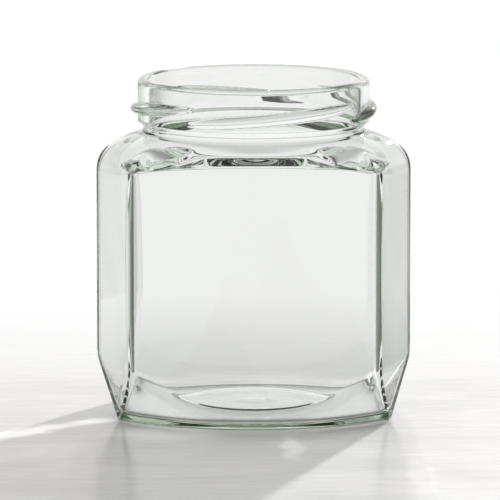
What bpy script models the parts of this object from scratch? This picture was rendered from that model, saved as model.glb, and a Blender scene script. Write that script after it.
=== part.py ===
"""Oval hexagonal glass jar: six-sided body with bowed front and back, round lugged neck.

One piece of pressed glass, open at the mouth. X runs across the width, Y from the front
(-Y) to the back, Z up. The origin is on the standing surface, under the middle of the jar.

The glass is a loft of closed rings. Every ring has the same columns of points, and each
column follows one line up the outside, over the lip and down the inside, so that the
corners, the cut base and the rounded shoulder all run along the mesh.
"""

import math

import bmesh
import bpy
import numpy as np

MM = 0.001

# Overall size
HEIGHT = 76.7 * MM
WIDTH = 71.5 * MM
DEPTH = 57.2 * MM

# Plan of the body: two pointed ends, four flat sides and two bowed panels
KNEE_X = 28.1 * MM
KNEE_Y = 20.5 * MM
RIDGE_RADIUS = 2.3 * MM
KNEE_RADIUS = 3.25 * MM

# Plan of the base, where the ends are cut off straight and the panels lean in
BASE_HALF_WIDTH = 30.9 * MM
BASE_CORNER_Y = 13.2 * MM
BASE_HALF_DEPTH = 27.4 * MM
BASE_CORNER_RADIUS = 1.6 * MM
SIDE_SPREAD = 0.1

# Heights where the cuts of the base reach the walls
END_CUT_TOP = 12.8 * MM
KNEE_CUT_TOP = 11.0 * MM
PANEL_CUT_LOW = 2.9 * MM
PANEL_CUT_POWER = 2.6
CUT_ROUNDING = 1.5 * MM
HEEL_ROUNDING = 1.0 * MM

# Underside: a flat band to stand on round a shallow round recess
RECESS_RADIUS = 17.0 * MM
RECESS_SLOPE = 1.3 * MM
RECESS_DEPTH = 0.9 * MM
RECESS_CROWN = 0.5 * MM

# Shoulder
END_SHOULDER = 55.5 * MM
PANEL_SHOULDER = 57.8 * MM
SHOULDER_TOP = 64.2 * MM
SHOULDER_TOP_RADIUS = 25.6 * MM
SHOULDER_RISE_SHARE = 0.575
SHOULDER_REACH_SHARE = 0.63
SHOULDER_DROP_SHARE = 0.14
SHOULDER_EVENNESS = 0.5

# Neck and lip
WAIST_RADIUS = 25.1 * MM
WAIST_LOW = 65.0 * MM
WAIST_HIGH = 65.9 * MM
NECK_RADIUS = 26.35 * MM
NECK_LOW = 67.0 * MM
BORE_RADIUS = 24.0 * MM
LIP_RADIUS = (NECK_RADIUS - BORE_RADIUS) / 2

# Lugs: four ribs that climb to the right round the neck
LUGS = 4
LUG_START = math.radians(-125.5)
LUG_LENGTH = math.radians(93)
LUG_LOW = 68.4 * MM
LUG_CLIMB = 3.4 * MM
LUG_HALF_WIDTH = 1.3 * MM
LUG_REACH = 1.65 * MM
LUG_TAPER = 0.14
LUG_TAPER_POWER = 0.5
LUG_TIP_WIDTH = 0.4
LUG_RIB_POWER = 0.55

# Inside of the body
SIDE_WALL = 1.45 * MM
PANEL_WALL = 1.4 * MM
INNER_RIDGE_RADIUS = 2.8 * MM
INNER_KNEE_RADIUS = 5.7 * MM

# Floor: a round step over the recess of the underside, and a rounded corner to the walls
FLOOR = 1.7 * MM
FLOOR_STEP = 0.9 * MM
FLOOR_CROWN = 0.5 * MM
FLOOR_INSET = 1.5 * MM
FLOOR_ROUNDING = 2.0 * MM
INNER_CORNER_RADIUS = 3.0 * MM
INNER_CUT_RISE = 2.6 * MM
INNER_CUT_SHARE = 0.86
INNER_CUT_ROUNDING = 1.6 * MM

# Inside of the shoulder: a ledge behind the panels, a smooth slope at the ends
LEDGE_ABOVE_FOOT = 1.8 * MM
LEDGE_HIGH = 60.6 * MM
LEDGE_RADIUS = 23.4 * MM
LEDGE_CORNER_ROUNDING = 1.1 * MM
LEDGE_EDGE_ROUNDING = 1.6 * MM
LEDGE_SIDE_START = 0.5
INNER_SHOULDER_DROP = 0.9 * MM
INNER_SHOULDER_TOP = 63.2 * MM

# Most of a slope that a rounding may take, and the angle from which an edge shows sharp
MOST_SHARE = 0.48
SHARP_ANGLE = math.radians(40)

# Fineness: points in a quarter ring, by stretch, and rings in each part of the height
RIDGE_POINTS = 4
FACET_POINTS = 2
SIDE_POINTS = 4
KNEE_POINTS = 3
PANEL_POINTS = 10
CURVE_RINGS = 3
CROWN_RINGS = 2
SHOULDER_RINGS = 6
NECK_RINGS = 18
LIP_RINGS = 6


def mix(first, last, share):
    """The value a share of the way from first to last."""
    return first + (last - first) * share


def arc_radius(half_chord, rise):
    """Radius of the arc that rises this much over a chord."""
    return (half_chord**2 + rise**2) / (2 * rise)


def smooth(share):
    """The share eased in and out."""
    clipped = min(max(share, 0.0), 1.0)
    return clipped * clipped * (3 - 2 * clipped)


def curve(points, count):
    """Points along the Bezier curve of the given corners, without its first point."""
    degree = len(points) - 1
    result = []
    for step in range(1, count + 1):
        share = step / count
        result.append(
            sum(
                math.comb(degree, k) * share**k * (1 - share) ** (degree - k) * point
                for k, point in enumerate(points)
            )
        )
    return result


class Outline:
    """A quarter of a plan: a straight wall, a rounded corner and a bowed panel.

    The wall's normal makes the angle wall_angle with X. With wall_angle zero the wall is
    the straight cut across the end of the base.
    """

    def __init__(self, reach, wall_angle, bow, bow_middle, end_radius, corner_radius):
        self.wall_angle = wall_angle
        self.bow = bow
        self.bow_middle = bow_middle
        self.end_radius = end_radius
        self.corner_radius = corner_radius
        self.end = np.array([(reach - end_radius) / math.cos(wall_angle), 0.0])
        self.corner = self.corner_centre(reach)
        from_middle = self.corner - np.array([0.0, bow_middle])
        self.panel_angle = math.atan2(from_middle[1], from_middle[0])

    def corner_centre(self, reach):
        """Centre of the corner's rounding, inside both the wall and the panel."""
        normal = np.array([math.cos(self.wall_angle), math.sin(self.wall_angle)])
        along = np.array([-normal[1], normal[0]])
        foot = normal * (reach - self.corner_radius)
        middle = np.array([0.0, self.bow_middle])
        offset = foot - middle
        half = offset @ along
        rest = offset @ offset - (self.bow - self.corner_radius) ** 2
        return foot + along * (-half + math.sqrt(half**2 - rest))

    def turn(self, centre, radius, angle):
        """Point at an angle on a rounding."""
        return centre + radius * np.array([math.cos(angle), math.sin(angle)])

    def panel(self, share):
        """Point on the bowed panel, from the corner to the middle."""
        angle = mix(self.panel_angle, math.pi / 2, share)
        return self.turn(np.array([0.0, self.bow_middle]), self.bow, angle)


class BodyOutline(Outline):
    """Plan of the walls, with a ridge at the end and a knee between side and panel."""

    def ridge(self, share):
        """Point on the rounded ridge."""
        return self.turn(self.end, self.end_radius, self.wall_angle * share)

    def side(self, share):
        """Point on the flat side."""
        start = self.ridge(1.0)
        stop = self.turn(self.corner, self.corner_radius, self.wall_angle)
        return mix(start, stop, share)

    def knee(self, share):
        """Point on the rounded knee."""
        angle = mix(self.wall_angle, self.panel_angle, share)
        return self.turn(self.corner, self.corner_radius, angle)


class BaseOutline(Outline):
    """Plan of the base, where a flat side of the body ends in the rounded corner."""

    def __init__(self, reach, bow, bow_middle, corner_radius, side_angle):
        super().__init__(reach, 0.0, bow, bow_middle, 0.0, corner_radius)
        self.side_angle = side_angle
        self.side_spread = SIDE_SPREAD * side_angle

    def ridge(self, share):
        """Point on the straight end, then on the first turn of the corner."""
        facet_share = FACET_POINTS / RIDGE_POINTS
        if share <= facet_share:
            stop = self.turn(self.corner, self.corner_radius, 0.0)
            return mix(self.end, stop, share / facet_share)
        turned = (share - facet_share) / (1 - facet_share)
        return self.turn(
            self.corner, self.corner_radius, turned * (self.side_angle - self.side_spread)
        )

    def side(self, share):
        """Point on the short stretch of the corner that the flat side runs into."""
        angle = self.side_angle + mix(-self.side_spread, self.side_spread, share)
        return self.turn(self.corner, self.corner_radius, angle)

    def knee(self, share):
        """Point on the last turn of the corner."""
        angle = mix(self.side_angle + self.side_spread, self.panel_angle, share)
        return self.turn(self.corner, self.corner_radius, angle)


def column_plan():
    """Columns of a quarter ring, as stretch and share, from the end to the panel's middle."""
    stretches = (
        ("ridge", RIDGE_POINTS),
        ("side", SIDE_POINTS),
        ("knee", KNEE_POINTS),
        ("panel", PANEL_POINTS),
    )
    columns = [("ridge", 0.0)]
    for name, count in stretches:
        columns += [(name, (step + 1) / count) for step in range(count)]
    return columns


def full_ring(quarter):
    """A quarter's values carried round all four quarters, each column once.

    A row of the quarter holds x, y and any heights, and only x and y are mirrored.
    """
    quarter = np.array(quarter)
    left = quarter[-2::-1].copy()
    left[:, 0] *= -1
    half = np.vstack([quarter, left])
    front = half[-2:0:-1].copy()
    front[:, 1] *= -1
    return np.vstack([half, front])


def ring_of(outline, columns):
    """Points of an outline on every column of the ring."""
    return full_ring([getattr(outline, name)(share) for name, share in columns])


def heights_of(rule, columns):
    """A height on every column, from a rule of stretch and share."""
    return full_ring([(0.0, 0.0, rule(name, share)) for name, share in columns])[:, 2]


def raised(plan, height):
    """A ring in space from its plan and one height or a height for each column."""
    return np.column_stack([plan, np.broadcast_to(height, len(plan))])


def directions(plan, evenness):
    """Angles of a ring's columns, from those of a plan (0) to evenly spaced ones (1)."""
    own = np.unwrap(np.arctan2(plan[:, 1], plan[:, 0]))
    even = np.arange(len(plan)) * 2 * math.pi / len(plan)
    return mix(own, even, evenness)


def round_ring(angles, radius, height):
    """A round ring of one radius, or of one for each column."""
    unit = np.column_stack([np.cos(angles), np.sin(angles)])
    return raised(unit * np.reshape(radius, (-1, 1)), height)


def lug_relief(angles, height):
    """How far the lugs stand out of the neck at some angles and one height."""
    pitch = 2 * math.pi / LUGS
    relief = np.zeros(len(angles))
    for lug in range(2 * LUGS):
        share = (angles - LUG_START - lug * pitch) / LUG_LENGTH
        inside = (share > 0) & (share < 1)
        ends = np.clip(np.minimum(share, 1 - share) / LUG_TAPER, 0, 1) ** LUG_TAPER_POWER
        middle = LUG_LOW + LUG_CLIMB * share
        across = (height - middle) / (LUG_HALF_WIDTH * mix(LUG_TIP_WIDTH, 1.0, ends))
        rib = np.clip(1 - across**2, 0, 1) ** LUG_RIB_POWER
        relief = np.maximum(relief, np.where(inside, LUG_REACH * ends * rib, 0))
    return relief


def neck_ring(angles, height):
    """A ring of the neck's wall with its lugs."""
    return round_ring(angles, NECK_RADIUS + lug_relief(angles, height), height)


def cut_share(slope, size):
    """Share of each slope that a rounding of this size takes."""
    return np.minimum(size / np.linalg.norm(slope, axis=1, keepdims=True), MOST_SHARE)


def rounding(before, corner, after, size, count):
    """Rings that round the corner between two slopes, given by a ring on each."""
    down = before - corner
    up = after - corner
    start = corner + down * cut_share(down, size)
    return [start] + curve([start, corner, corner + up * cut_share(up, size)], count)


def crowned(even, rim_height, crown):
    """Rings of the round face over or under the recess, from near its middle to its rim."""
    rings = []
    for step in range(1, CROWN_RINGS + 1):
        share = step / CROWN_RINGS
        height = rim_height + crown * (1 - share**2)
        rings.append(round_ring(even, RECESS_RADIUS * share, height))
    return rings


def shoulder(wall, top, count):
    """Rings of the rounded shoulder, from the top of the wall to the foot of the neck."""
    rise = top[:, 2] - wall[:, 2]
    over_wall = wall.copy()
    over_wall[:, 2] += SHOULDER_RISE_SHARE * rise
    over_top = mix(top, wall, SHOULDER_REACH_SHARE)
    over_top[:, 2] = top[:, 2] - SHOULDER_DROP_SHARE * rise
    return [wall] + curve([wall, over_wall, over_top, top], count)


def plans():
    """The four plans of the jar: walls and base, outside and inside."""
    half_width, half_depth = WIDTH / 2, DEPTH / 2
    wall_angle = math.atan2(half_width - KNEE_X, KNEE_Y)
    reach = (half_width - RIDGE_RADIUS) * math.cos(wall_angle) + RIDGE_RADIUS
    bow = arc_radius(KNEE_X, half_depth - KNEE_Y)
    bow_middle = half_depth - bow
    base_bow = arc_radius(BASE_HALF_WIDTH, BASE_HALF_DEPTH - BASE_CORNER_Y)
    base_middle = BASE_HALF_DEPTH - base_bow
    outer = BodyOutline(reach, wall_angle, bow, bow_middle, RIDGE_RADIUS, KNEE_RADIUS)
    inner = BodyOutline(
        reach - SIDE_WALL,
        wall_angle,
        bow - PANEL_WALL,
        bow_middle,
        INNER_RIDGE_RADIUS,
        INNER_KNEE_RADIUS,
    )
    base = BaseOutline(
        BASE_HALF_WIDTH, base_bow, base_middle, BASE_CORNER_RADIUS, wall_angle
    )
    floor = BaseOutline(
        BASE_HALF_WIDTH - FLOOR_INSET,
        base_bow - FLOOR_INSET,
        base_middle,
        INNER_CORNER_RADIUS,
        wall_angle,
    )
    return outer, base, inner, floor


def cut_top(outline, columns):
    """Height of the top of the base's cuts on every column."""

    def rule(name, share):
        if name == "ridge":
            return END_CUT_TOP
        if name == "side":
            return mix(END_CUT_TOP, KNEE_CUT_TOP, share)
        if name == "knee":
            return KNEE_CUT_TOP
        across = outline.panel(share)[0] / outline.panel(0.0)[0]
        return mix(PANEL_CUT_LOW, KNEE_CUT_TOP, abs(across) ** PANEL_CUT_POWER)

    return heights_of(rule, columns)


def shoulder_foot(columns):
    """Height of the foot of the shoulder on every column."""

    def rule(name, share):
        if name != "panel":
            return END_SHOULDER
        return mix(END_SHOULDER, PANEL_SHOULDER, math.sin(share * math.pi / 2))

    return heights_of(rule, columns)


def outside_rings(outer, base, columns):
    """Rings of the outside, from the middle of the underside to the foot of the lip."""
    wall_plan = ring_of(outer, columns)
    base_plan = ring_of(base, columns)
    cut = raised(wall_plan, cut_top(outer, columns))
    heel = raised(base_plan, 0.0)
    middle = raised(base_plan * 0.0, 0.0)
    foot = raised(wall_plan, shoulder_foot(columns))
    top = round_ring(directions(wall_plan, SHOULDER_EVENNESS), SHOULDER_TOP_RADIUS, SHOULDER_TOP)
    even = directions(wall_plan, 1.0)

    rings = crowned(even, RECESS_DEPTH, RECESS_CROWN)
    rings.append(round_ring(even, RECESS_RADIUS + RECESS_SLOPE, 0.0))
    rings += rounding(middle, heel, cut, HEEL_ROUNDING, CURVE_RINGS)
    rings += rounding(heel, cut, foot, CUT_ROUNDING, CURVE_RINGS)
    rings += shoulder(foot, top, SHOULDER_RINGS)
    rings += [round_ring(even, WAIST_RADIUS, WAIST_LOW), round_ring(even, WAIST_RADIUS, WAIST_HIGH)]
    lip_foot = HEIGHT - LIP_RADIUS
    for step in range(NECK_RINGS + 1):
        rings.append(neck_ring(even, mix(NECK_LOW, lip_foot, step / NECK_RINGS)))
    return rings


def lip_rings(outer, columns):
    """Rings of the rounded lip, from the outside over the top to the bore."""
    even = directions(ring_of(outer, columns), 1.0)
    middle = (NECK_RADIUS + BORE_RADIUS) / 2
    rings = []
    for step in range(1, LIP_RINGS + 1):
        angle = math.pi * step / LIP_RINGS
        radius = middle + LIP_RADIUS * math.cos(angle)
        height = HEIGHT - LIP_RADIUS + LIP_RADIUS * math.sin(angle)
        rings.append(round_ring(even, radius, height))
    return rings


def inner_shoulder(inner, cut, columns):
    """Rings from the bore to the top of the inner wall, with the ledge behind the panels."""
    wall_plan = ring_of(inner, columns)
    foot_height = shoulder_foot(columns)
    angles = directions(wall_plan, SHOULDER_EVENNESS)
    bore = round_ring(angles, BORE_RADIUS, HEIGHT - LIP_RADIUS)
    edge = round_ring(angles, LEDGE_RADIUS, LEDGE_HIGH)
    corner = raised(wall_plan, foot_height + LEDGE_ABOVE_FOOT)
    ledge = rounding(bore, edge, corner, LEDGE_EDGE_ROUNDING, CURVE_RINGS)
    ledge += rounding(edge, corner, cut, LEDGE_CORNER_ROUNDING, CURVE_RINGS)
    foot = raised(wall_plan, foot_height - INNER_SHOULDER_DROP)
    top = round_ring(angles, BORE_RADIUS, INNER_SHOULDER_TOP)
    slope = shoulder(foot, top, len(ledge) - 1)[::-1]

    def behind_panel(name, share):
        if name == "ridge":
            return 0.0
        if name == "side":
            return smooth((share - LEDGE_SIDE_START) / (1 - LEDGE_SIDE_START))
        return 1.0

    shares = heights_of(behind_panel, columns)[:, None]
    return [mix(low, high, shares) for low, high in zip(slope, ledge)]


def inside_rings(inner, floor, columns):
    """Rings of the inside, from the foot of the neck's bore to the middle of the floor."""
    wall_plan = ring_of(inner, columns)
    floor_plan = ring_of(floor, columns)
    cut_rise = INNER_CUT_SHARE * (cut_top(inner, columns) - PANEL_CUT_LOW)
    cut = raised(wall_plan, FLOOR + INNER_CUT_RISE + cut_rise)
    heel = raised(floor_plan, FLOOR)
    middle = raised(floor_plan * 0.0, FLOOR)
    even = directions(wall_plan, 1.0)

    rings = inner_shoulder(inner, cut, columns)
    rings += rounding(rings[-1], cut, heel, INNER_CUT_ROUNDING, CURVE_RINGS)
    rings += rounding(cut, heel, middle, FLOOR_ROUNDING, CURVE_RINGS)
    rings.append(round_ring(even, RECESS_RADIUS + RECESS_SLOPE, FLOOR))
    rings += crowned(even, FLOOR + FLOOR_STEP, FLOOR_CROWN)[::-1]
    return rings


def loft(rings, first_middle, last_middle):
    """A closed body through the rings, each end closed round a middle point."""
    mesh = bmesh.new()
    count = len(rings[0])
    start = bmesh.ops.create_circle(mesh, segments=count, radius=1.0, cap_ends=False)["verts"]
    edges = list({edge for vert in start for edge in vert.link_edges})
    for vert, place in zip(start, rings[0]):
        vert.co = place
    opening = list(edges)
    previous = list(start)
    for ring in rings[1:]:
        made = bmesh.ops.extrude_edge_only(mesh, edges=edges)["geom"]
        edges = [item for item in made if isinstance(item, bmesh.types.BMEdge)]
        fresh = {item for item in made if isinstance(item, bmesh.types.BMVert)}
        edges = [edge for edge in edges if set(edge.verts) <= fresh]
        current = []
        for vert in previous:
            current.append(next(edge.other_vert(vert) for edge in vert.link_edges
                                if edge.other_vert(vert) in fresh))
        for vert, place in zip(current, ring):
            vert.co = place
        previous = current
    for loop, point in ((opening, first_middle), (edges, last_middle)):
        cap = bmesh.ops.extrude_edge_only(mesh, edges=loop)["geom"]
        tips = [item for item in cap if isinstance(item, bmesh.types.BMVert)]
        bmesh.ops.pointmerge(mesh, verts=tips, merge_co=point)
    bmesh.ops.recalc_face_normals(mesh, faces=mesh.faces)
    return mesh


def glass():
    """Clear soda-lime glass with a faint green tint."""
    material = bpy.data.materials.new("clear_glass")
    material.use_nodes = True
    shader = material.node_tree.nodes["Principled BSDF"]
    shader.inputs["Base Color"].default_value = (0.93, 0.97, 0.95, 1.0)
    shader.inputs["Metallic"].default_value = 0.0
    shader.inputs["Roughness"].default_value = 0.02
    shader.inputs["IOR"].default_value = 1.52
    shader.inputs["Transmission Weight"].default_value = 1.0
    return material


def build_jar():
    """The jar as one object."""
    columns = column_plan()
    outer, base, inner, floor = plans()
    rings = outside_rings(outer, base, columns)
    rings += lip_rings(outer, columns)
    rings += inside_rings(inner, floor, columns)
    under = (0.0, 0.0, RECESS_DEPTH + RECESS_CROWN)
    over = (0.0, 0.0, FLOOR + FLOOR_STEP + FLOOR_CROWN)
    shape = loft(rings, under, over)
    mesh = bpy.data.meshes.new("jar")
    shape.to_mesh(mesh)
    shape.free()
    mesh.shade_smooth()
    mesh.set_sharp_from_angle(angle=SHARP_ANGLE)
    mesh.materials.append(glass())
    jar = bpy.data.objects.new("jar", mesh)
    bpy.context.scene.collection.objects.link(jar)
    return jar


for existing in list(bpy.data.objects):
    bpy.data.objects.remove(existing)
build_jar()
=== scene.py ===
"""Looks of an empty oval hexagonal jar: clear glass with a faint green tint, on a pale studio floor.

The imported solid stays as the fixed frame. A finer jar stands in its place, lofted from the
same sizes. X runs across the width, Y from the front to the back, Z up, in metres.
"""

import logging
import math
from collections.abc import Callable
from dataclasses import dataclass, field
from enum import Enum

import bmesh
import bpy
import numpy as np
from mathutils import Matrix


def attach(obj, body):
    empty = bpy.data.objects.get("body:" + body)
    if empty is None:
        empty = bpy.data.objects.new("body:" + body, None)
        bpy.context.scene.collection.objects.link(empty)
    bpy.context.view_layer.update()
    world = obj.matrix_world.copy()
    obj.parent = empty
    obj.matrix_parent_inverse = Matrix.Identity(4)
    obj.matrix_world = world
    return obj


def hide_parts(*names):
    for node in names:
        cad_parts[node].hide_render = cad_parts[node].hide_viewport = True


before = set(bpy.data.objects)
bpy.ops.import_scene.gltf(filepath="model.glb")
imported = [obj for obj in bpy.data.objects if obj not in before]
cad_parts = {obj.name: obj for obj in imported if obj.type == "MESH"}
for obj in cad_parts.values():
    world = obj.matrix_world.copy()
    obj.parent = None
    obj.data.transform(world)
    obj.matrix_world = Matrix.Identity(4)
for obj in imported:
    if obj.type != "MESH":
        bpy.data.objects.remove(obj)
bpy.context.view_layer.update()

MM = 0.001
WHITE = (1.0, 1.0, 1.0, 1.0)
JUST_UNDER_HALF = 0.48
WELD_GAP = 1e-7
log = logging.getLogger("jar")

Point = np.ndarray
Ring = np.ndarray
Socket = bpy.types.NodeSocket
Value = float | tuple[float, ...] | Socket


class Stretch(Enum):
    """The stretches of a quarter of the plan, from the end to the middle of the panel."""

    RIDGE = 0
    SIDE = 1
    KNEE = 2
    PANEL = 3


class Ease(Enum):
    """The ways to go from one level to another."""

    SOFT = "SMOOTHSTEP"
    EVEN = "LINEAR"


def mix(first: Point | float, last: Point | float, share: Point | float) -> Point | float:
    """Return the value a share of the way from first to last."""
    return first + (last - first) * share


def arc_radius(half_chord: float, rise: float) -> float:
    """Return the radius of the arc that rises this much over a chord."""
    return (half_chord**2 + rise**2) / (2 * rise)


def smooth(share: Point | float) -> Point | float:
    """Return the share eased in and out."""
    clipped = np.clip(share, 0.0, 1.0)
    return clipped * clipped * (3 - 2 * clipped)


def curve(corners: list[Ring], count: int) -> list[Ring]:
    """Walk a Bezier curve.

    Args:
        corners: Rings or points that steer the curve.
        count: How many places to give, the last corner included and the first left out.

    Returns:
        The places along the curve.
    """
    degree = len(corners) - 1
    places = []
    for step in range(1, count + 1):
        share = step / count
        weights = [
            math.comb(degree, k) * share**k * (1 - share) ** (degree - k)
            for k in range(degree + 1)
        ]
        places.append(sum(weight * corner for weight, corner in zip(weights, corners)))
    return places


def straight(first: Ring, last: Ring, count: int) -> list[Ring]:
    """Return rings evenly spaced between two, without either of them."""
    return [mix(first, last, step / (count + 1)) for step in range(1, count + 1)]


def cut_share(slope: Ring, size: float) -> Point:
    """Return the share of each slope that a rounding takes, at most just under half."""
    length = np.linalg.norm(slope, axis=1, keepdims=True)
    return np.minimum(size / length, JUST_UNDER_HALF)


def rounding(before: Ring, corner: Ring, after: Ring, size: float, count: int) -> list[Ring]:
    """Round the corner between two slopes.

    Args:
        before: A ring on the slope that comes first.
        corner: The ring where the slopes meet.
        after: A ring on the slope that follows.
        size: How far from the corner the rounding starts and ends.
        count: Rings in the rounding.

    Returns:
        The rings of the rounding, its start included.
    """
    down = before - corner
    up = after - corner
    start = corner + down * cut_share(down, size)
    return [start] + curve([start, corner, corner + up * cut_share(up, size)], count)


@dataclass
class Outline:
    """A quarter of a plan: a straight wall, a rounded corner and a bowed panel.

    The wall's normal makes the angle wall_angle with X. With the angle zero the wall is the
    straight cut across the end of the base, and the flat side of the body ends in the corner.
    """

    reach: float
    wall_angle: float
    bow: float
    bow_middle: float
    end_radius: float
    corner_radius: float
    side_angle: float = 0.0
    facet_share: float = 0.5
    side_share: float = 0.1
    end: Point = field(init=False)
    corner: Point = field(init=False)
    panel_angle: float = field(init=False)

    def __post_init__(self) -> None:
        """Find the centres of the roundings."""
        along_x = (self.reach - self.end_radius) / math.cos(self.wall_angle)
        self.end = np.array([along_x, 0.0])
        normal = np.array([math.cos(self.wall_angle), math.sin(self.wall_angle)])
        along = np.array([-normal[1], normal[0]])
        foot = normal * (self.reach - self.corner_radius)
        offset = foot - np.array([0.0, self.bow_middle])
        half = offset @ along
        rest = offset @ offset - (self.bow - self.corner_radius) ** 2
        self.corner = foot + along * (-half + math.sqrt(half**2 - rest))
        from_middle = self.corner - np.array([0.0, self.bow_middle])
        self.panel_angle = math.atan2(from_middle[1], from_middle[0])

    @staticmethod
    def turn(centre: Point, radius: float, angle: float) -> Point:
        """Return the point at an angle on a rounding."""
        return centre + radius * np.array([math.cos(angle), math.sin(angle)])

    def on_corner(self, angle: float) -> Point:
        """Return the point at an angle on the corner."""
        return self.turn(self.corner, self.corner_radius, angle)

    def ridge(self, share: float) -> Point:
        """Return a point on the rounded ridge, or on the straight end of the base."""
        if self.wall_angle:
            return self.turn(self.end, self.end_radius, self.wall_angle * share)
        if share <= self.facet_share:
            return mix(self.end, self.on_corner(0.0), share / self.facet_share)
        turned = (share - self.facet_share) / (1 - self.facet_share)
        return self.on_corner(turned * self.side_angle * (1 - self.side_share))

    def side(self, share: float) -> Point:
        """Return a point on the flat side, or on the stretch of the corner that it ends in."""
        if self.wall_angle:
            return mix(self.ridge(1.0), self.on_corner(self.wall_angle), share)
        spread = self.side_share * self.side_angle
        return self.on_corner(self.side_angle + mix(-spread, spread, share))

    def knee(self, share: float) -> Point:
        """Return a point on the rounded knee."""
        start = self.wall_angle or self.side_angle * (1 + self.side_share)
        return self.on_corner(mix(start, self.panel_angle, share))

    def panel(self, share: float) -> Point:
        """Return a point on the bowed panel."""
        middle = np.array([0.0, self.bow_middle])
        return self.turn(middle, self.bow, mix(self.panel_angle, math.pi / 2, share))

    def at(self, stretch: Stretch, share: float) -> Point:
        """Return the point a share of the way along a stretch."""
        walk = {
            Stretch.RIDGE: self.ridge,
            Stretch.SIDE: self.side,
            Stretch.KNEE: self.knee,
            Stretch.PANEL: self.panel,
        }
        return walk[stretch](share)


@dataclass(frozen=True)
class Columns:
    """The columns of points that every ring of the jar shares."""

    ridge: int = 12
    side: int = 14
    knee: int = 14
    panel: int = 36

    def quarter(self) -> list[tuple[Stretch, float]]:
        """Return the columns of a quarter ring, from the end to the middle of the panel."""
        counts = (self.ridge, self.side, self.knee, self.panel)
        places = [(Stretch.RIDGE, 0.0)]
        for stretch, count in zip(Stretch, counts):
            places += [(stretch, (step + 1) / count) for step in range(count)]
        return places

    @staticmethod
    def around(quarter: list) -> Ring:
        """Carry a quarter's rows of x, y and any height round all four quarters.

        Args:
            quarter: The rows, from the end to the middle of the panel.

        Returns:
            The rows of the whole ring, with x and y mirrored.
        """
        rows = np.array(quarter)
        left = rows[-2::-1].copy()
        left[:, 0] *= -1
        half = np.vstack([rows, left])
        front = half[-2:0:-1].copy()
        front[:, 1] *= -1
        return np.vstack([half, front])

    def plan(self, outline: Outline) -> Ring:
        """Return the points of an outline on every column."""
        return self.around([outline.at(stretch, share) for stretch, share in self.quarter()])

    def heights(self, rule: Callable[[Stretch, float], float]) -> Point:
        """Return a height on every column, from a rule of stretch and share."""
        rows = [(0.0, 0.0, rule(stretch, share)) for stretch, share in self.quarter()]
        return self.around(rows)[:, 2]


@dataclass(frozen=True)
class Rows:
    """How many rings go into each stretch of the jar's profile."""

    recess: int = 12
    recess_edge: int = 3
    standing: int = 5
    heel: int = 8
    lean: int = 6
    cut: int = 8
    wall: int = 24
    shoulder: int = 20
    waist: int = 2
    flare: int = 3
    neck: int = 64
    lip: int = 16
    bore: int = 8
    bore_round: int = 6
    ledge: int = 2
    ledge_edge: int = 10
    ledge_wall: int = 5
    ledge_corner: int = 10
    inner_wall: int = 40
    inner_cut: int = 8
    inner_lean: int = 4
    inner_heel: int = 12
    inner_floor: int = 4
    floor_bend: int = 7
    push_up: int = 8


def raised(plan: Ring, height: Point | float) -> Ring:
    """Return a ring in space from its plan and its height or heights."""
    return np.column_stack([plan, np.broadcast_to(height, len(plan))])


def directions(plan: Ring, evenness: float) -> Point:
    """Return the columns' angles, from those of a plan (0) to evenly spaced ones (1)."""
    own = np.unwrap(np.arctan2(plan[:, 1], plan[:, 0]))
    even = np.arange(len(plan)) * 2 * math.pi / len(plan)
    return mix(own, even, evenness)


def round_ring(angles: Point, radius: Point | float, height: float) -> Ring:
    """Return a round ring of one radius, or of one for each column."""
    unit = np.column_stack([np.cos(angles), np.sin(angles)])
    return raised(unit * np.reshape(radius, (-1, 1)), height)


@dataclass(frozen=True)
class Wiring:
    """The nodes of a finish, of the room or of a lamp."""

    tree: bpy.types.NodeTree

    def feed(self, node: bpy.types.Node, inputs: dict[str | int, Value]) -> None:
        """Set each of a node's inputs to its number or colour, or link it."""
        for name, value in inputs.items():
            if isinstance(value, Socket):
                self.tree.links.new(value, node.inputs[name])
            else:
                node.inputs[name].default_value = value

    def change(self, name: str, inputs: dict[str | int, Value]) -> bpy.types.Node:
        """Return a node that is there from the start, once its inputs are set or linked."""
        node = self.tree.nodes[name]
        self.feed(node, inputs)
        return node

    def add(
        self, kind: str, output: str, inputs: dict[str | int, Value] | None = None,
        **settings: str,
    ) -> Socket:
        """Add a node.

        Args:
            kind: The node's type, without the words that all of them start with.
            output: The name of the output that is wanted.
            inputs: The values of its inputs, or the outputs that they are linked to.
            settings: The node's own settings.

        Returns:
            The output.
        """
        node = self.tree.nodes.new("ShaderNode" + kind)
        for name, setting in settings.items():
            setattr(node, name, setting)
        self.feed(node, inputs or {})
        return node.outputs[output]

    def step(
        self, value: Socket, low: float, high: float, start: float = 0.0, end: float = 1.0,
        ease: Ease = Ease.SOFT,
    ) -> Socket:
        """Go from one level to another as a value grows.

        Args:
            value: The value that grows.
            low: Where the step starts.
            high: Where it ends.
            start: The level before the step.
            end: The level after it.
            ease: How the level goes from one to the other.

        Returns:
            The level.
        """
        places = {
            "Value": value, "From Min": low, "From Max": high, "To Min": start, "To Max": end,
        }
        return self.add("MapRange", "Result", places, interpolation_type=ease.value)


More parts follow.
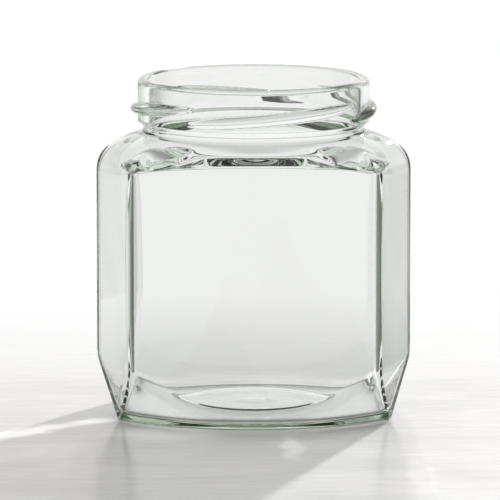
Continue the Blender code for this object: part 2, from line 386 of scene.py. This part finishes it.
@dataclass(frozen=True)
class ClearGlass:
    """Clear soda-lime glass whose faint green shows only where the light goes a long way."""

    name: str = "clear_glass"
    roughness: float = 0.0
    ior: float = 1.52
    tint: tuple[float, float, float, float] = (0.71, 0.92, 0.69, 1.0)
    density: float = 22.0
    wave_scale: float = 55.0
    wave_detail: float = 1.0
    wave_height: float = 0.05 * MM

    def material(self) -> bpy.types.Material:
        """Return the material with its nodes."""
        material = bpy.data.materials.new(self.name)
        material.use_nodes = True
        wiring = Wiring(material.node_tree)
        place = wiring.add("TexCoord", "Object")
        waves = wiring.add(
            "TexNoise", "Fac",
            {"Vector": place, "Scale": self.wave_scale, "Detail": self.wave_detail},
        )
        relief = wiring.add(
            "Bump", "Normal", {"Height": waves, "Strength": 1.0, "Distance": self.wave_height}
        )
        depth = wiring.add(
            "VolumeAbsorption", "Volume", {"Color": self.tint, "Density": self.density}
        )
        wiring.change("Principled BSDF", {
            "Base Color": WHITE, "Metallic": 0.0, "Roughness": self.roughness,
            "IOR": self.ior, "Transmission Weight": 1.0, "Normal": relief,
        })
        wiring.change("Material Output", {"Volume": depth})
        return material


@dataclass
class Jar:
    """The glass jar: six-sided body with bowed front and back, cut base and lugged neck."""

    height: float = 76.7 * MM
    width: float = 71.5 * MM
    depth: float = 57.2 * MM
    knee_x: float = 28.1 * MM
    knee_y: float = 20.5 * MM
    ridge_radius: float = 2.3 * MM
    knee_radius: float = 3.25 * MM
    base_half_width: float = 30.9 * MM
    base_corner_y: float = 13.2 * MM
    base_half_depth: float = 27.4 * MM
    base_corner_radius: float = 1.6 * MM
    end_cut_top: float = 12.8 * MM
    knee_cut_top: float = 11.0 * MM
    panel_cut_low: float = 2.9 * MM
    panel_cut_power: float = 2.6
    cut_rounding: float = 1.5 * MM
    heel_rounding: float = 1.0 * MM
    recess_radius: float = 17.0 * MM
    recess_slope: float = 1.3 * MM
    recess_depth: float = 0.9 * MM
    recess_crown: float = 0.5 * MM
    end_shoulder: float = 55.5 * MM
    panel_shoulder: float = 57.8 * MM
    shoulder_top: float = 64.2 * MM
    shoulder_top_radius: float = 25.6 * MM
    shoulder_rise: float = 0.575
    shoulder_reach: float = 0.63
    shoulder_drop: float = 0.14
    shoulder_evenness: float = 0.5
    waist_radius: float = 25.1 * MM
    waist_low: float = 65.0 * MM
    waist_high: float = 65.9 * MM
    neck_radius: float = 26.35 * MM
    neck_low: float = 67.0 * MM
    bore_radius: float = 24.0 * MM
    lugs: int = 4
    lug_start: float = math.radians(-125.5)
    lug_length: float = math.radians(93)
    lug_low: float = 68.4 * MM
    lug_climb: float = 3.4 * MM
    lug_half_width: float = 1.3 * MM
    lug_reach: float = 1.65 * MM
    lug_taper: float = 0.24
    lug_taper_power: float = 0.8
    lug_tip_width: float = 0.4
    lug_rib_power: float = 0.7
    side_wall: float = 1.45 * MM
    side_turn: float = math.radians(0.2)
    panel_wall: float = 1.4 * MM
    floor: float = 1.7 * MM
    floor_step: float = 0.9 * MM
    floor_crown: float = 0.5 * MM
    inner_ridge_radius: float = 2.8 * MM
    inner_knee_tight: float = 4.2 * MM
    inner_knee_full: float = 6.6 * MM
    inner_knee_swell: float = 0.75
    inner_corner_radius: float = 3.0 * MM
    floor_inset: float = 1.5 * MM
    floor_rounding: float = 2.0 * MM
    inner_cut_rise: float = 2.6 * MM
    inner_cut_share: float = 0.86
    inner_cut_rounding: float = 1.6 * MM
    floor_bend: float = 1.5 * MM
    ledge_from: float = 0.5
    ledge_above_foot: float = 1.8 * MM
    ledge_high: float = 61.1 * MM
    ledge_radius: float = 23.7 * MM
    ledge_flatness: float = 0.62
    ledge_spread: float = 1.22
    bore_foot: float = 62.3 * MM
    ledge_corner_rounding: float = 0.8 * MM
    ledge_edge_rounding: float = 1.1 * MM
    inner_shoulder_drop: float = 0.9 * MM
    inner_shoulder_top: float = 63.2 * MM
    columns: Columns = Columns()
    rows: Rows = Rows()
    finish: ClearGlass = ClearGlass()
    outer: Outline = field(init=False)
    inner: Outline = field(init=False)
    swollen: Outline = field(init=False)
    base: Outline = field(init=False)
    ground: Outline = field(init=False)
    lip_radius: float = field(init=False)

    def __post_init__(self) -> None:
        """Work out the plans of the jar, outside and inside, and the lip's rounding."""
        wall_angle = math.atan2(self.width / 2 - self.knee_x, self.knee_y)
        reach = (self.width / 2 - self.ridge_radius) * math.cos(wall_angle) + self.ridge_radius
        bow = arc_radius(self.knee_x, self.depth / 2 - self.knee_y)
        bow_middle = self.depth / 2 - bow
        self.outer = Outline(
            reach, wall_angle, bow, bow_middle, self.ridge_radius, self.knee_radius
        )
        self.inner, self.swollen = (
            Outline(
                reach - self.side_wall, wall_angle + self.side_turn, bow - self.panel_wall,
                bow_middle, self.inner_ridge_radius, knee_radius,
            )
            for knee_radius in (self.inner_knee_tight, self.inner_knee_full)
        )
        base_bow = arc_radius(self.base_half_width, self.base_half_depth - self.base_corner_y)
        base_middle = self.base_half_depth - base_bow
        self.base = Outline(
            self.base_half_width, 0.0, base_bow, base_middle, 0.0, self.base_corner_radius,
            side_angle=wall_angle,
        )
        self.ground = Outline(
            self.base_half_width - self.floor_inset, 0.0, base_bow - self.floor_inset,
            base_middle, 0.0, self.inner_corner_radius, side_angle=wall_angle,
        )
        self.lip_radius = (self.neck_radius - self.bore_radius) / 2

    def cut_top(self, outline: Outline) -> Point:
        """Return the height of the top of the base's cuts on every column."""

        def rule(stretch: Stretch, share: float) -> float:
            """Return the height at one place of the outline."""
            if stretch is Stretch.RIDGE:
                return self.end_cut_top
            if stretch is Stretch.SIDE:
                return mix(self.end_cut_top, self.knee_cut_top, share)
            if stretch is Stretch.KNEE:
                return self.knee_cut_top
            across = abs(outline.panel(share)[0] / outline.panel(0.0)[0])
            return mix(self.panel_cut_low, self.knee_cut_top, across**self.panel_cut_power)

        return self.columns.heights(rule)

    def shoulder_foot(self) -> Point:
        """Return the height of the foot of the shoulder on every column."""

        def rule(stretch: Stretch, share: float) -> float:
            """Return the height at one place of the outline."""
            if stretch is not Stretch.PANEL:
                return self.end_shoulder
            arch = math.sin(share * math.pi / 2)
            return mix(self.end_shoulder, self.panel_shoulder, arch)

        return self.columns.heights(rule)

    def shoulder(self, wall: Ring, top: Ring, count: int) -> list[Ring]:
        """Round the shoulder over from the wall to the foot of the neck.

        Args:
            wall: The ring at the top of the wall.
            top: The round ring at the foot of the neck.
            count: Rings in the shoulder.

        Returns:
            The rings of the shoulder, both of the given ones included.
        """
        rise = top[:, 2] - wall[:, 2]
        over_wall = wall.copy()
        over_wall[:, 2] += self.shoulder_rise * rise
        over_top = mix(top, wall, self.shoulder_reach)
        over_top[:, 2] = top[:, 2] - self.shoulder_drop * rise
        return [wall] + curve([wall, over_wall, over_top, top], count)

    def lug_relief(self, angles: Point, height: float) -> Point:
        """Work out how far the lugs stand out of the neck.

        Args:
            angles: The columns' angles.
            height: The height of the ring.

        Returns:
            The relief on every column.
        """
        pitch = 2 * math.pi / self.lugs
        relief = np.zeros(len(angles))
        for lug in range(2 * self.lugs):
            share = (angles - self.lug_start - lug * pitch) / self.lug_length
            inside = (share > 0) & (share < 1)
            near_end = np.clip(np.minimum(share, 1 - share) / self.lug_taper, 0, 1)
            ends = smooth(near_end) ** self.lug_taper_power
            middle = self.lug_low + self.lug_climb * share
            half_width = self.lug_half_width * mix(self.lug_tip_width, 1.0, ends)
            across = (height - middle) / half_width
            rib = np.clip(1 - across**2, 0, 1) ** self.lug_rib_power
            relief = np.maximum(relief, np.where(inside, self.lug_reach * ends * rib, 0))
        return relief

    def outside(self) -> list[Ring]:
        """Return the rings from the middle of the underside to the foot of the lip."""
        wall_plan = self.columns.plan(self.outer)
        base_plan = self.columns.plan(self.base)
        even = directions(wall_plan, 1.0)
        cut = raised(wall_plan, self.cut_top(self.outer))
        heel = raised(base_plan, 0.0)
        middle = raised(base_plan * 0.0, 0.0)
        foot = raised(wall_plan, self.shoulder_foot())
        top_angles = directions(wall_plan, self.shoulder_evenness)
        top = round_ring(top_angles, self.shoulder_top_radius, self.shoulder_top)
        rings = []
        for step in range(1, self.rows.recess + 1):
            share = step / self.rows.recess
            crown = self.recess_depth + self.recess_crown * (1 - share**2)
            rings.append(round_ring(even, self.recess_radius * share, crown))
        edge = round_ring(even, self.recess_radius + self.recess_slope, 0.0)
        rings += straight(rings[-1], edge, self.rows.recess_edge)
        rings += [edge]
        heel_round = rounding(middle, heel, cut, self.heel_rounding, self.rows.heel)
        rings += straight(edge, heel_round[0], self.rows.standing)
        rings += heel_round
        cut_round = rounding(heel, cut, foot, self.cut_rounding, self.rows.cut)
        rings += straight(heel_round[-1], cut_round[0], self.rows.lean)
        rings += cut_round
        rings += straight(cut_round[-1], foot, self.rows.wall)
        rings += self.shoulder(foot, top, self.rows.shoulder)
        low = round_ring(even, self.waist_radius, self.waist_low)
        high = round_ring(even, self.waist_radius, self.waist_high)
        neck = round_ring(even, self.neck_radius, self.neck_low)
        rings += straight(top, low, self.rows.waist) + [low]
        rings += straight(low, high, self.rows.waist) + [high]
        rings += straight(high, neck, self.rows.flare)
        lip_foot = self.height - self.lip_radius
        for step in range(self.rows.neck + 1):
            height = mix(self.neck_low, lip_foot, step / self.rows.neck)
            radius = self.neck_radius + self.lug_relief(even, height)
            rings.append(round_ring(even, radius, height))
        return rings

    def lip(self) -> list[Ring]:
        """Return the rings of the rounded lip, from the outside over the top to the bore."""
        even = directions(self.columns.plan(self.outer), 1.0)
        middle = (self.neck_radius + self.bore_radius) / 2
        rings = []
        for step in range(1, self.rows.lip + 1):
            angle = math.pi * step / self.rows.lip
            radius = middle + self.lip_radius * math.cos(angle)
            height = self.height - self.lip_radius + self.lip_radius * math.sin(angle)
            rings.append(round_ring(even, radius, height))
        return rings

    def inner_wall(self, low: Ring, high: Ring, count: int) -> list[Ring]:
        """Walk up the inner wall, whose knees are thickest half way up.

        Args:
            low: The ring at the foot of the wall.
            high: The ring at its top.
            count: Rings between the two.

        Returns:
            The rings between the two.
        """
        swell = self.columns.plan(self.swollen) - self.columns.plan(self.inner)
        rings = straight(low, high, count)
        for step, ring in enumerate(rings, start=1):
            share = math.sin(math.pi * step / (count + 1)) ** self.inner_knee_swell
            ring[:, :2] += swell * share
        return rings

    def ledge(self, lip_foot: Ring, cut: Ring) -> list[Ring]:
        """Walk from the bore over a flat ledge, which follows the panel, to the inner wall.

        Args:
            lip_foot: The ring at the top of the bore.
            cut: The ring at the foot of the inner wall.

        Returns:
            The rings, the one at the top of the wall last.
        """
        wall_plan = self.columns.plan(self.inner)
        angles = directions(wall_plan, self.shoulder_evenness)
        spread = 1 / np.maximum(np.abs(np.sin(angles)), 1 / self.ledge_spread)
        edge_radius = self.ledge_radius * spread**self.ledge_flatness
        edge = round_ring(angles, edge_radius, self.ledge_high)
        bore_foot = round_ring(angles, self.bore_radius, self.bore_foot)
        foot = raised(wall_plan, self.shoulder_foot() + self.ledge_above_foot)
        bend = self.ledge_edge_rounding
        bore_round = rounding(lip_foot, bore_foot, edge, bend, self.rows.bore_round)
        edge_round = rounding(bore_foot, edge, foot, bend, self.rows.ledge_edge)
        corner = rounding(edge, foot, cut, self.ledge_corner_rounding, self.rows.ledge_corner)
        rings = straight(lip_foot, bore_round[0], self.rows.bore) + bore_round
        rings += straight(bore_round[-1], edge_round[0], self.rows.ledge) + edge_round
        return rings + straight(edge_round[-1], corner[0], self.rows.ledge_wall) + corner

    def slope(self, lip_foot: Ring, count: int) -> list[Ring]:
        """Walk from the bore round the shoulder, with no ledge, to the inner wall.

        Args:
            lip_foot: The ring at the top of the bore.
            count: Rings in the walk.

        Returns:
            The rings, the one at the top of the wall last.
        """
        wall_plan = self.columns.plan(self.inner)
        angles = directions(wall_plan, self.shoulder_evenness)
        top = round_ring(angles, self.bore_radius, self.inner_shoulder_top)
        wall_top = raised(wall_plan, self.shoulder_foot() - self.inner_shoulder_drop)
        bore = straight(lip_foot, top, self.rows.bore)
        return bore + self.shoulder(wall_top, top, count - len(bore) - 1)[::-1]

    def inner_shoulder(self, cut: Ring) -> list[Ring]:
        """Walk from the bore to the inner wall, over a ledge behind the panels only.

        Args:
            cut: The ring at the foot of the inner wall.

        Returns:
            The rings, the one at the top of the wall last.
        """

        def rule(stretch: Stretch, share: float) -> float:
            """Return how much of the ledge there is at one place of the outline."""
            if stretch is Stretch.RIDGE:
                return 0.0
            if stretch is Stretch.SIDE:
                return smooth((share - self.ledge_from) / (1 - self.ledge_from))
            return 1.0

        even = directions(self.columns.plan(self.inner), 1.0)
        lip_foot = round_ring(even, self.bore_radius, self.height - self.lip_radius)
        ledge = self.ledge(lip_foot, cut)
        slope = self.slope(lip_foot, len(ledge))
        behind_panel = self.columns.heights(rule)[:, None]
        return [mix(plain, over, behind_panel) for plain, over in zip(slope, ledge, strict=True)]

    def inside(self) -> list[Ring]:
        """Return the rings from the foot of the bore to the middle of the floor."""
        wall_plan = self.columns.plan(self.inner)
        floor_plan = self.columns.plan(self.ground)
        even = directions(wall_plan, 1.0)
        rise = self.inner_cut_share * (self.cut_top(self.inner) - self.panel_cut_low)
        cut = raised(wall_plan, self.floor + self.inner_cut_rise + rise)
        heel = raised(floor_plan, self.floor)
        middle = raised(floor_plan * 0.0, self.floor)
        shoulder = self.inner_shoulder(cut)
        rows = self.rows
        cut_round = rounding(
            shoulder[-1], cut, heel, self.inner_cut_rounding, rows.inner_cut
        )
        heel_round = rounding(cut, heel, middle, self.floor_rounding, rows.inner_heel)
        wall = self.inner_wall(cut_round[0], shoulder[-1], rows.inner_wall)
        lean = straight(cut_round[-1], heel_round[0], rows.inner_lean)
        rings = shoulder + wall[::-1] + cut_round + lean + heel_round
        step_foot = round_ring(even, self.recess_radius + self.recess_slope, self.floor)
        step_top = round_ring(even, self.recess_radius, self.floor + self.floor_step)
        crown = round_ring(even, 0.0, self.floor + self.floor_step + self.floor_crown)
        foot_bend = rounding(
            heel_round[-1], step_foot, step_top, self.floor_bend, rows.floor_bend
        )
        top_bend = rounding(step_foot, step_top, crown, self.floor_bend, rows.floor_bend)
        rings += straight(heel_round[-1], foot_bend[0], rows.inner_floor)
        return rings + foot_bend + top_bend + straight(top_bend[-1], crown, rows.push_up)

    def loft(self, rings: list[Ring], first: Point, last: Point) -> bmesh.types.BMesh:
        """Skin the rings as one closed body.

        A grid is rolled up along the rings, its two side edges are joined, and each of its
        ends closes on a point.

        Args:
            rings: The rings, in order, all with the same columns.
            first: The point that closes the first ring.
            last: The point that closes the last ring.

        Returns:
            The closed body, with its faces outward.
        """
        count = len(rings[0])
        rows = [np.tile(first, (count, 1))] + rings + [np.tile(last, (count, 1))]
        places = np.array([np.vstack([row, row[:1]]) for row in rows])
        shape = bmesh.new()
        bmesh.ops.create_grid(
            shape, x_segments=count, y_segments=len(rows) - 1, size=1.0
        )
        for vert in shape.verts:
            column = round((vert.co.x + 1) / 2 * count)
            row = round((vert.co.y + 1) / 2 * (len(rows) - 1))
            vert.co = places[row][column]
        bmesh.ops.remove_doubles(shape, verts=shape.verts, dist=WELD_GAP)
        bmesh.ops.recalc_face_normals(shape, faces=shape.faces)
        return shape

    def build(self) -> bpy.types.Object:
        """Return the jar as one object, riding on the frame in the place of its solid."""
        rings = self.outside() + self.lip() + self.inside()
        under = np.array([0.0, 0.0, self.recess_depth + self.recess_crown])
        over = np.array([0.0, 0.0, self.floor + self.floor_step + self.floor_crown])
        shape = self.loft(rings, under, over)
        mesh = bpy.data.meshes.new("glass_jar")
        shape.to_mesh(mesh)
        shape.free()
        mesh.shade_smooth()
        mesh.materials.append(self.finish.material())
        piece = bpy.data.objects.new("glass_jar", mesh)
        bpy.context.scene.collection.objects.link(piece)
        piece.cycles.is_caustics_caster = True
        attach(piece, "root")
        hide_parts("jar")
        log.info("%s: %d faces", piece.name, len(mesh.polygons))
        return piece


@dataclass(frozen=True)
class PaintedGlow:
    """A soft oval patch of painted light on the floor, standing in for the light that the jar
    gathers there.
    """

    middle: tuple[float, float]
    half_size: tuple[float, float]
    turn: float
    strength: float
    core: float = 0.2

    def level(self, wiring: Wiring, place: Socket) -> Socket:
        """Make the painted patch of light.

        Args:
            wiring: The floor's nodes.
            place: The place on the floor.

        Returns:
            How much painted light the patch adds there.
        """
        own = wiring.add("Mapping", "Vector", {
            "Vector": place, "Location": (*self.middle, 0.0), "Scale": (*self.half_size, 1.0),
            "Rotation": (0.0, 0.0, self.turn),
        }, vector_type="TEXTURE")
        away = wiring.add("VectorMath", "Value", {0: own}, operation="LENGTH")
        return wiring.step(away, self.core, 1.0, self.strength, 0.0)


@dataclass(frozen=True)
class FloorFinish:
    """Pale satin floor, streaked along its grain, which whitens towards its far edge, with patches
    of painted light where the glass would throw light on it.
    """

    colour: tuple[float, float, float] = (0.88, 0.875, 0.865)
    roughness: float = 0.22
    specular: float = 0.35
    far_end: float = 0.17
    near_in_glass: float = 0.66
    far_in_glass: float = 0.92
    near_start: float = 0.03
    near_end: float = 0.045
    grain_scale: tuple[float, float] = (55.0, 330.0)
    grain_depth: float = 0.10
    cloud_scale: tuple[float, float] = (26.0, 46.0)
    cloud_depth: float = 0.14
    pattern_detail: float = 5.0
    pattern_roughness: float = 0.6
    darkest_at: float = 0.3
    palest_at: float = 0.6
    ragged: float = 0.005
    ragged_scale: float = 130.0
    # Painted light: bright patches in the floor's glow standing in for light the glass throws on the
    # floor. They lie under the jar, as streaks and pools to its left and in front, and as a thin
    # strip on its right.
    painted_glows: tuple[PaintedGlow, ...] = (
        PaintedGlow((0.0, 0.0), (0.031, 0.026), 0.0, 0.12, core=0.8),
        PaintedGlow((-0.052, -0.0275), (0.028, 0.0050), math.radians(45.5), 0.34),
        PaintedGlow((-0.036, -0.0135), (0.008, 0.0040), math.radians(38), 0.26),
        PaintedGlow((-0.020, -0.030), (0.018, 0.012), math.radians(-20), 0.13),
        PaintedGlow((0.0075, -0.0485), (0.0035, 0.020), 0.0, 0.15),
        PaintedGlow((-0.054, -0.052), (0.026, 0.012), math.radians(30), 0.05),
        PaintedGlow((0.0345, -0.088), (0.004, 0.05), 0.0, 0.07),
    )

    def pattern(
        self, wiring: Wiring, place: Socket, scale: tuple[float, float], depth: float
    ) -> Socket:
        """Make a soft random pattern.

        Args:
            wiring: The floor's nodes.
            place: The place on the floor.
            scale: How fine the pattern is along the floor and across it.
            depth: How much its darkest places take away.

        Returns:
            The share of the light that the pattern leaves.
        """
        along = wiring.add("Mapping", "Vector", {"Vector": place, "Scale": (*scale, 1.0)})
        noise = wiring.add("TexNoise", "Fac", {
            "Vector": along, "Scale": 1.0, "Detail": self.pattern_detail,
            "Roughness": self.pattern_roughness,
        })
        return wiring.step(noise, self.darkest_at, self.palest_at, 1.0 - depth, 1.0, Ease.EVEN)

    def tone(self, wiring: Wiring, place: Socket) -> Socket:
        """Return the floor's colour with its grain and its cloudiness."""
        colour = self.colour
        for scale, depth in (
            (self.grain_scale, self.grain_depth), (self.cloud_scale, self.cloud_depth)
        ):
            share = self.pattern(wiring, place, scale, depth)
            colour = wiring.add(
                "VectorMath", "Vector", {0: colour, "Scale": share}, operation="SCALE"
            )
        return colour

    def painted_light(self, wiring: Wiring, place: Socket) -> Socket:
        """Return the painted light of all the patches together, their edges made ragged."""
        noise = wiring.add("TexNoise", "Color", {"Vector": place, "Scale": self.ragged_scale})
        shift = wiring.add(
            "VectorMath", "Vector", {0: noise, 1: (self.ragged, self.ragged, 0.0), 2: place},
            operation="MULTIPLY_ADD",
        )
        centred = wiring.add(
            "VectorMath", "Vector", {0: shift, 1: (self.ragged / 2, self.ragged / 2, 0.0)},
            operation="SUBTRACT",
        )
        whole = 0.0
        for glow in self.painted_glows:
            level = glow.level(wiring, centred)
            whole = wiring.add("Math", "Value", {0: whole, 1: level}, operation="ADD")
        return whole

    def far_light(self, wiring: Wiring, place: Socket) -> tuple[Socket, Socket]:
        """Make the white light that takes the floor's place towards its far edge.

        Args:
            wiring: The floor's nodes.
            place: The place on the floor.

        Returns:
            The light's share of the floor, and the light, dimmer where glass is in front.
        """
        direct = wiring.add("LightPath", "Is Camera Ray")
        back = wiring.add("SeparateXYZ", "Y", {"Vector": place})
        dimmed = wiring.step(
            back, self.near_end, self.far_end, self.near_in_glass, self.far_in_glass, Ease.EVEN
        )
        level = wiring.add("Mix", "Result", {"Factor": direct, "A": dimmed, "B": 1.0})
        soon = wiring.step(back, self.near_start, self.near_end)
        far = wiring.step(back, 0.0, self.far_end)
        share = wiring.add("Mix", "Result", {"Factor": direct, "A": soon, "B": far})
        light = wiring.add("Emission", "Emission", {"Color": WHITE, "Strength": level})
        return share, light

    def material(self) -> bpy.types.Material:
        """Return the material with its nodes."""
        material = bpy.data.materials.new("pale_floor")
        material.use_nodes = True
        wiring = Wiring(material.node_tree)
        place = wiring.add("TexCoord", "Object")
        # Painted light: the floor glows in soft patches that stand in for the light the glass throws
        # on it.
        board = wiring.change("Principled BSDF", {
            "Base Color": self.tone(wiring, place), "Roughness": self.roughness,
            "Specular IOR Level": self.specular, "Emission Color": WHITE,
            "Emission Strength": self.painted_light(wiring, place),
        })
        share, light = self.far_light(wiring, place)
        blend = wiring.add(
            "MixShader", "Shader", {"Fac": share, 1: board.outputs["BSDF"], 2: light}
        )
        wiring.change("Material Output", {"Surface": blend})
        return material


@dataclass
class Studio:
    """Floor, surroundings, lamps and camera."""

    floor_front: float = -0.25
    floor_back: float = 0.17
    floor_half_width: float = 0.07
    wide_reach: float = 2.5
    floor_drop: float = 0.0001
    wide_drop: float = 0.00012
    floor_finish: FloorFinish = FloorFinish()
    bright: tuple[float, float, float] = (1.02, 1.02, 1.02)
    ambient: tuple[float, float, float] = (0.53, 0.52, 0.503)
    white_turn: float = math.radians(14)
    dark_turn: float = math.radians(34)
    left_level: float = 0.32
    right_level: float = 0.50
    ceiling_from: float = 0.62
    ceiling_full: float = 0.72
    ceiling_dim: float = 0.03
    # Degrees from straight behind the jar towards the right, and how bright it is there.
    low_levels: tuple[tuple[float, float], ...] = (
        (-180, 0.6), (-150, 0.6), (-128, 0.6), (-108, 0.65), (-98, 0.6), (-86, 0.5),
        (-76, 0.15), (-66, 0.08), (-58, 0.25), (-52, 0.5), (-47, 0.1), (-44, 0.15),
        (-42.5, 0.7), (-40, 0.9), (-37, 1.2), (-31, 1.1), (-24, 0.6), (-14, 0.65), (-8, 0.92),
        (22, 0.92), (28, 1.1), (35, 1.0), (40, 0.15), (52, 0.1), (60, 0.2), (78, 0.3), (90, 0.8),
        (130, 0.7), (180, 0.6),
    )
    brightest: float = 1.3
    dim_from: float = 0.7
    dim_tint: tuple[float, float, float] = (0.2, 0.0, 0.26)
    horizon: float = 0.03
    key_place: tuple[float, float, float] = (0.146, 0.329, 0.17)
    key_power: float = 42.0
    back_place: tuple[float, float, float] = (0.03, 0.85, 0.36)
    back_power: float = 1.3
    lamp_radius: float = 0.006
    eye: tuple[float, float, float] = (-0.0236, -1.2789, 0.2279)
    eye_pitch: float = math.radians(8.49)
    eye_turn: float = math.radians(-1.02)
    lens: float = 408.4
    film: float = 36.0
    nearest: float = 0.05
    farthest: float = 20.0
    glass_bounces: int = 24
    glossy_bounces: int = 12
    diffuse_bounces: int = 4
    indirect_clamp: float = 2.0

    def floor(self, name: str, half_width: float, front: float, height: float) -> bpy.types.Object:
        """Lay a floor.

        Args:
            name: The floor's name.
            half_width: How far it reaches to either side.
            front: Where it starts.
            height: Its height.

        Returns:
            The floor, marked as part of the stage.
        """
        shape = bmesh.new()
        bmesh.ops.create_grid(shape, x_segments=1, y_segments=1, size=1.0)
        depth = (self.floor_back - front) / 2
        centre = (self.floor_back + front) / 2
        bmesh.ops.scale(shape, vec=(half_width, depth, 1.0), verts=shape.verts)
        bmesh.ops.translate(shape, vec=(0.0, centre, height), verts=shape.verts)
        mesh = bpy.data.meshes.new(name)
        shape.to_mesh(mesh)
        shape.free()
        mesh.materials.append(self.floor_finish.material())
        piece = bpy.data.objects.new(name, mesh)
        bpy.context.scene.collection.objects.link(piece)
        piece.cycles.is_caustics_receiver = True
        return piece

    def floors(self) -> None:
        """Lay the board under the jar, and the wide floor that only the camera sees."""
        self.floor("floor", self.floor_half_width, self.floor_front, -self.floor_drop)
        wide = self.floor("wide_floor", self.wide_reach, -self.wide_reach, -self.wide_drop)
        wide.visible_transmission = False
        wide.visible_glossy = False

    def surroundings(self) -> None:
        """Make the room: white behind the jar and dim in front of it."""
        world = bpy.data.worlds.new("studio")
        bpy.context.scene.world = world
        world.use_nodes = True
        wiring = Wiring(world.node_tree)
        place = wiring.add("TexCoord", "Generated")
        right, back, up = (wiring.add("SeparateXYZ", axis, {"Vector": place}) for axis in "XYZ")
        turn = wiring.add("Math", "Value", {0: right, 1: back}, operation="ARCTAN2")
        level = wiring.step(turn, -self.dark_turn, -self.white_turn, self.left_level)
        for dimming in (
            wiring.step(turn, self.white_turn, self.dark_turn, 1.0, self.right_level),
            wiring.step(up, self.ceiling_from, self.ceiling_full, 1.0, self.ceiling_dim),
        ):
            level = wiring.add("Math", "Value", {0: level, 1: dimming}, operation="MULTIPLY")
        over = wiring.step(up, -self.horizon, self.horizon)
        low = self.low_sight(wiring, turn)
        sight = wiring.add("MixRGB", "Color", {"Fac": over, "Color1": low, "Color2": level})
        for kind, strength in (("Is Camera Ray", self.bright), ("Diffuse Depth", self.ambient)):
            ray = wiring.add("LightPath", kind)
            sight = wiring.add(
                "MixRGB", "Color", {"Fac": ray, "Color1": sight, "Color2": (*strength, 1.0)}
            )
        wiring.change("Background", {"Color": sight})

    def low_sight(self, wiring: Wiring, turn: Socket) -> Socket:
        """Make the room below the horizon, where the upright walls look.

        Args:
            wiring: The room's nodes.
            turn: The direction in radians, from straight behind towards the right.

        Returns:
            The colour of the room there.
        """
        around = wiring.step(turn, -math.pi, math.pi, ease=Ease.EVEN)
        table = wiring.add("ValToRGB", "Color", {"Fac": around})
        stops = table.node.color_ramp.elements
        while len(stops) < len(self.low_levels):
            stops.new(0.5)
        for stop, (degrees, level) in zip(stops, self.low_levels):
            stop.position = (degrees + 180) / 360
            dimness = max(1.0 - level / self.dim_from, 0.0)
            tint = [level * (1.0 - loss * dimness) / self.brightest for loss in self.dim_tint]
            stop.color = (*tint, 1.0)
        return wiring.add(
            "VectorMath", "Vector", {0: table, "Scale": self.brightest}, operation="SCALE"
        )

    def lamp(self, name: str, place: tuple[float, float, float], power: float) -> None:
        """Put up a small hard lamp behind the jar, equally strong near and far.

        Args:
            name: The lamp's name.
            place: Where it stands.
            power: Its strength.
        """
        light = bpy.data.lights.new(name, "POINT")
        light.energy = power
        light.shadow_soft_size = self.lamp_radius
        light.cycles.is_caustics_light = True
        light.use_nodes = True
        wiring = Wiring(light.node_tree)
        even = wiring.add("LightFalloff", "Constant", {"Strength": 1.0})
        wiring.change("Emission", {"Strength": even})
        piece = bpy.data.objects.new(name, light)
        piece.location = place
        bpy.context.scene.collection.objects.link(piece)

    def camera(self) -> None:
        """Place the camera where the photograph was taken from."""
        lens = bpy.data.cameras.new("camera")
        lens.sensor_fit = "HORIZONTAL"
        lens.sensor_width = self.film
        lens.lens = self.lens
        lens.clip_start = self.nearest
        lens.clip_end = self.farthest
        piece = bpy.data.objects.new("camera", lens)
        piece.location = self.eye
        piece.rotation_euler = (math.pi / 2 - self.eye_pitch, 0.0, self.eye_turn)
        bpy.context.scene.collection.objects.link(piece)
        bpy.context.scene.camera = piece

    def exposure(self) -> None:
        """Set how light becomes tone, and how far light is followed through the glass."""
        scene = bpy.context.scene
        scene.view_settings.view_transform = "Standard"
        scene.view_settings.look = "None"
        scene.cycles.max_bounces = self.glass_bounces
        scene.cycles.transmission_bounces = self.glass_bounces
        scene.cycles.glossy_bounces = self.glossy_bounces
        scene.cycles.diffuse_bounces = self.diffuse_bounces
        scene.cycles.sample_clamp_indirect = self.indirect_clamp

    def build(self) -> None:
        """Set up the whole studio."""
        self.camera()
        self.floors()
        self.surroundings()
        self.lamp("key_lamp", self.key_place, self.key_power)
        self.lamp("back_lamp", self.back_place, self.back_power)
        self.exposure()
        log.info("studio: camera, floors, surroundings and lamps")


def main() -> None:
    """Build the studio and the jar."""
    logging.basicConfig(level=logging.INFO, format="%(message)s")
    Studio().build()
    Jar().build()


if __name__ == "__main__":
    main()
